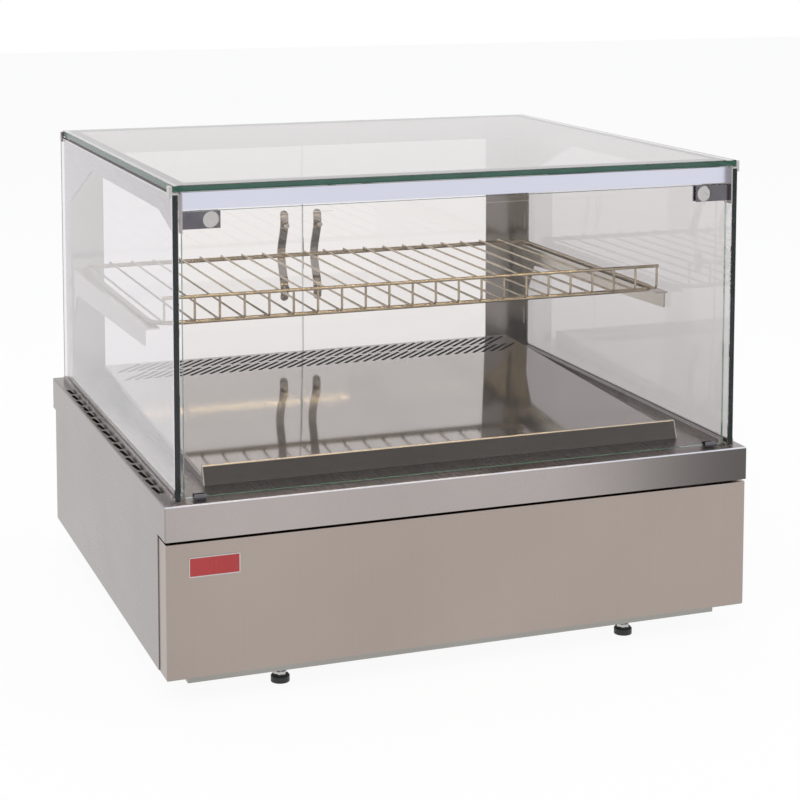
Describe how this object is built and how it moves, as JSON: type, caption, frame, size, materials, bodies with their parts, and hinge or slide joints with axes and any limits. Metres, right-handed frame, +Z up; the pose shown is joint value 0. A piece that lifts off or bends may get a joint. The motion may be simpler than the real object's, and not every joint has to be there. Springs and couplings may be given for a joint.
{
  "type": "refrigerated countertop display",
  "caption": "Countertop display case: glass case with wire shelf and sloped deck over a stainless steel machine base on levelling feet.",
  "frame": {"origin": "on the counter under the middle of the whole object, the rear handles included", "axes": "+Z up, +X to the right seen from the front, front towards -Y"},
  "size_m": [0.765, 0.6966, 0.612],
  "materials": {
    "shell_steel": "fine brushed",
    "front_cover_steel": "fine brushed, vertical grain",
    "pan_steel": "plain mill",
    "service_steel": "fine brushed",
    "badge_red": "glossy, plain",
    "channel_steel": "satin",
    "side_glass": "clear, polished green edges",
    "top_glass": "clear, polished green edges",
    "front_glass": "clear, polished green edges",
    "hinge_chrome": "polished",
    "cap_steel": "polished",
    "beam_aluminium": "satin anodised",
    "frame_steel": "satin",
    "clip_steel": "polished",
    "post_steel": "satin",
    "header_steel": "satin",
    "door_glass": "clear",
    "stile_aluminium": "satin anodised",
    "pivot_steel": "satin",
    "handle_steel": "satin",
    "bracket_steel": "satin",
    "shelf_wire": "bright",
    "deck_steel": "polished",
    "lip_steel": "polished",
    "light_aluminium": "satin anodised",
    "light_diffuser": "warm white, translucent",
    "seal_grey": "matte tape",
    "controller_black": "glossy, dark window",
    "key_grey": "satin",
    "switch_black": "satin",
    "rocker_green": "glossy",
    "rocker_black": "glossy",
    "gland_black": "satin",
    "foam": "foam",
    "liner_steel": "satin",
    "coil_aluminium": "plain",
    "cold_fan_frame_plastic": "satin",
    "fan_blade_plastic": "satin",
    "compressor_black": "gloss black",
    "mount_rubber": "matte",
    "condenser_fins": "plain",
    "hot_fan_frame_steel": "satin black",
    "hot_blade_aluminium": "plain",
    "pipe_copper": "dull copper",
    "tray_plastic": "matte",
    "box_steel": "satin grey",
    "screw_steel": "polished",
    "foot_black": "satin"
  },
  "bodies": {
    "base": {"body_shell": "shell_steel", "front_panel": "front_cover_steel", "bottom_pan": "pan_steel", "rear_panel": "service_steel", "badge_plate": "badge_red", "glass_channels": "channel_steel", "side_glass_left": "side_glass", "side_glass_right": "side_glass", "top_glass": "top_glass", "front_beam": "beam_aluminium", "side_frame_left": "frame_steel", "side_frame_right": "frame_steel", "corner_clips": "clip_steel", "rear_post_left": "post_steel", "rear_post_right": "post_steel", "rear_header": "header_steel", "door_pivot_blocks": "pivot_steel", "shelf_bracket_left": "bracket_steel", "shelf_bracket_right": "bracket_steel", "led_profile": "light_aluminium", "led_diffuser": "light_diffuser", "glass_seal": "seal_grey", "controller_bezel": "controller_black", "switch_frames": "switch_black", "cord_gland": "gland_black", "well_insulation": "foam", "well_liner": "liner_steel", "evaporator": "coil_aluminium", "evaporator_fan_frame": "cold_fan_frame_plastic", "compressor": "compressor_black", "compressor_mounts": "mount_rubber", "condenser": "condenser_fins", "condenser_fan_frame": "hot_fan_frame_steel", "refrigerant_pipes": "pipe_copper", "drain_tray": "tray_plastic", "control_box": "box_steel", "frame_screws": "screw_steel"},
    "front_pane": {"front_glass": "front_glass", "hinge_plates": "hinge_chrome", "glass_edge_caps": "cap_steel"},
    "left_door": {"rear_door_left": "door_glass", "door_stile_left": "stile_aluminium", "door_handle_left": "handle_steel"},
    "right_door": {"rear_door_right": "door_glass", "door_stile_right": "stile_aluminium", "door_handle_right": "handle_steel"},
    "shelf": {"wire_shelf": "shelf_wire"},
    "deck_tray": {"deck": "deck_steel", "deck_lip": "lip_steel"},
    "foot_fl": {"foot_front_left": "foot_black"},
    "foot_fr": {"foot_front_right": "foot_black"},
    "foot_rl": {"foot_rear_left": "foot_black"},
    "foot_rr": {"foot_rear_right": "foot_black"},
    "cold_fan": {"evaporator_fan_blades": "fan_blade_plastic"},
    "hot_fan": {"condenser_fan_blades": "hot_blade_aluminium"},
    "key_set": {"button_set": "key_grey"},
    "key_down": {"button_down": "key_grey"},
    "key_up": {"button_up": "key_grey"},
    "power_rocker": {"rocker_power": "rocker_green"},
    "light_rocker": {"rocker_light": "rocker_black"}
  },
  "joints": [
    {"name": "front_pane_hinge", "type": "hinge", "parent": "base", "child": "front_pane", "pos_m": [0, -0.33025, 0.57074], "axis": [-1, 0, 0], "range_deg": [0, 90]},
    {"name": "left_door_hinge", "type": "hinge", "parent": "base", "child": "left_door", "pos_m": [-0.346, 0.32125, 0.42], "axis": [0, 0, 1], "range_deg": [0, 110]},
    {"name": "right_door_hinge", "type": "hinge", "parent": "base", "child": "right_door", "pos_m": [0.346, 0.32125, 0.42], "axis": [0, 0, -1], "range_deg": [0, 110]},
    {"name": "shelf_lift", "type": "slide", "parent": "base", "child": "shelf", "axis": [0, 0, 1], "range_m": [0, 0.06]},
    {"name": "deck_lift", "type": "slide", "parent": "base", "child": "deck_tray", "axis": [0, 0, 1], "range_m": [0, 0.06]},
    {"name": "foot_fl_height", "type": "slide", "parent": "base", "child": "foot_fl", "axis": [0, 0, -1], "range_m": [-0.006, 0.01]},
    {"name": "foot_fr_height", "type": "slide", "parent": "base", "child": "foot_fr", "axis": [0, 0, -1], "range_m": [-0.006, 0.01]},
    {"name": "foot_rl_height", "type": "slide", "parent": "base", "child": "foot_rl", "axis": [0, 0, -1], "range_m": [-0.006, 0.01]},
    {"name": "foot_rr_height", "type": "slide", "parent": "base", "child": "foot_rr", "axis": [0, 0, -1], "range_m": [-0.006, 0.01]},
    {"name": "cold_fan_spin", "type": "hinge", "parent": "base", "child": "cold_fan", "pos_m": [0, 0.03775, 0.174], "axis": [0, -1, 0], "continuous": true},
    {"name": "hot_fan_spin", "type": "hinge", "parent": "base", "child": "hot_fan", "pos_m": [-0.225, -0.21225, 0.105], "axis": [0, -1, 0], "continuous": true},
    {"name": "key_set_press", "type": "slide", "parent": "base", "child": "key_set", "axis": [0, -1, 0], "range_m": [0, 0.0015], "stiffness_N_per_m": 400},
    {"name": "key_down_press", "type": "slide", "parent": "base", "child": "key_down", "axis": [0, -1, 0], "range_m": [0, 0.0015], "stiffness_N_per_m": 400},
    {"name": "key_up_press", "type": "slide", "parent": "base", "child": "key_up", "axis": [0, -1, 0], "range_m": [0, 0.0015], "stiffness_N_per_m": 400},
    {"name": "power_rocker_tilt", "type": "hinge", "parent": "base", "child": "power_rocker", "pos_m": [-0.16, 0.31675, 0.115], "axis": [-1, 0, 0], "range_deg": [0, 18]},
    {"name": "light_rocker_tilt", "type": "hinge", "parent": "base", "child": "light_rocker", "pos_m": [-0.12, 0.31675, 0.115], "axis": [-1, 0, 0], "range_deg": [0, 18]}
  ]
}
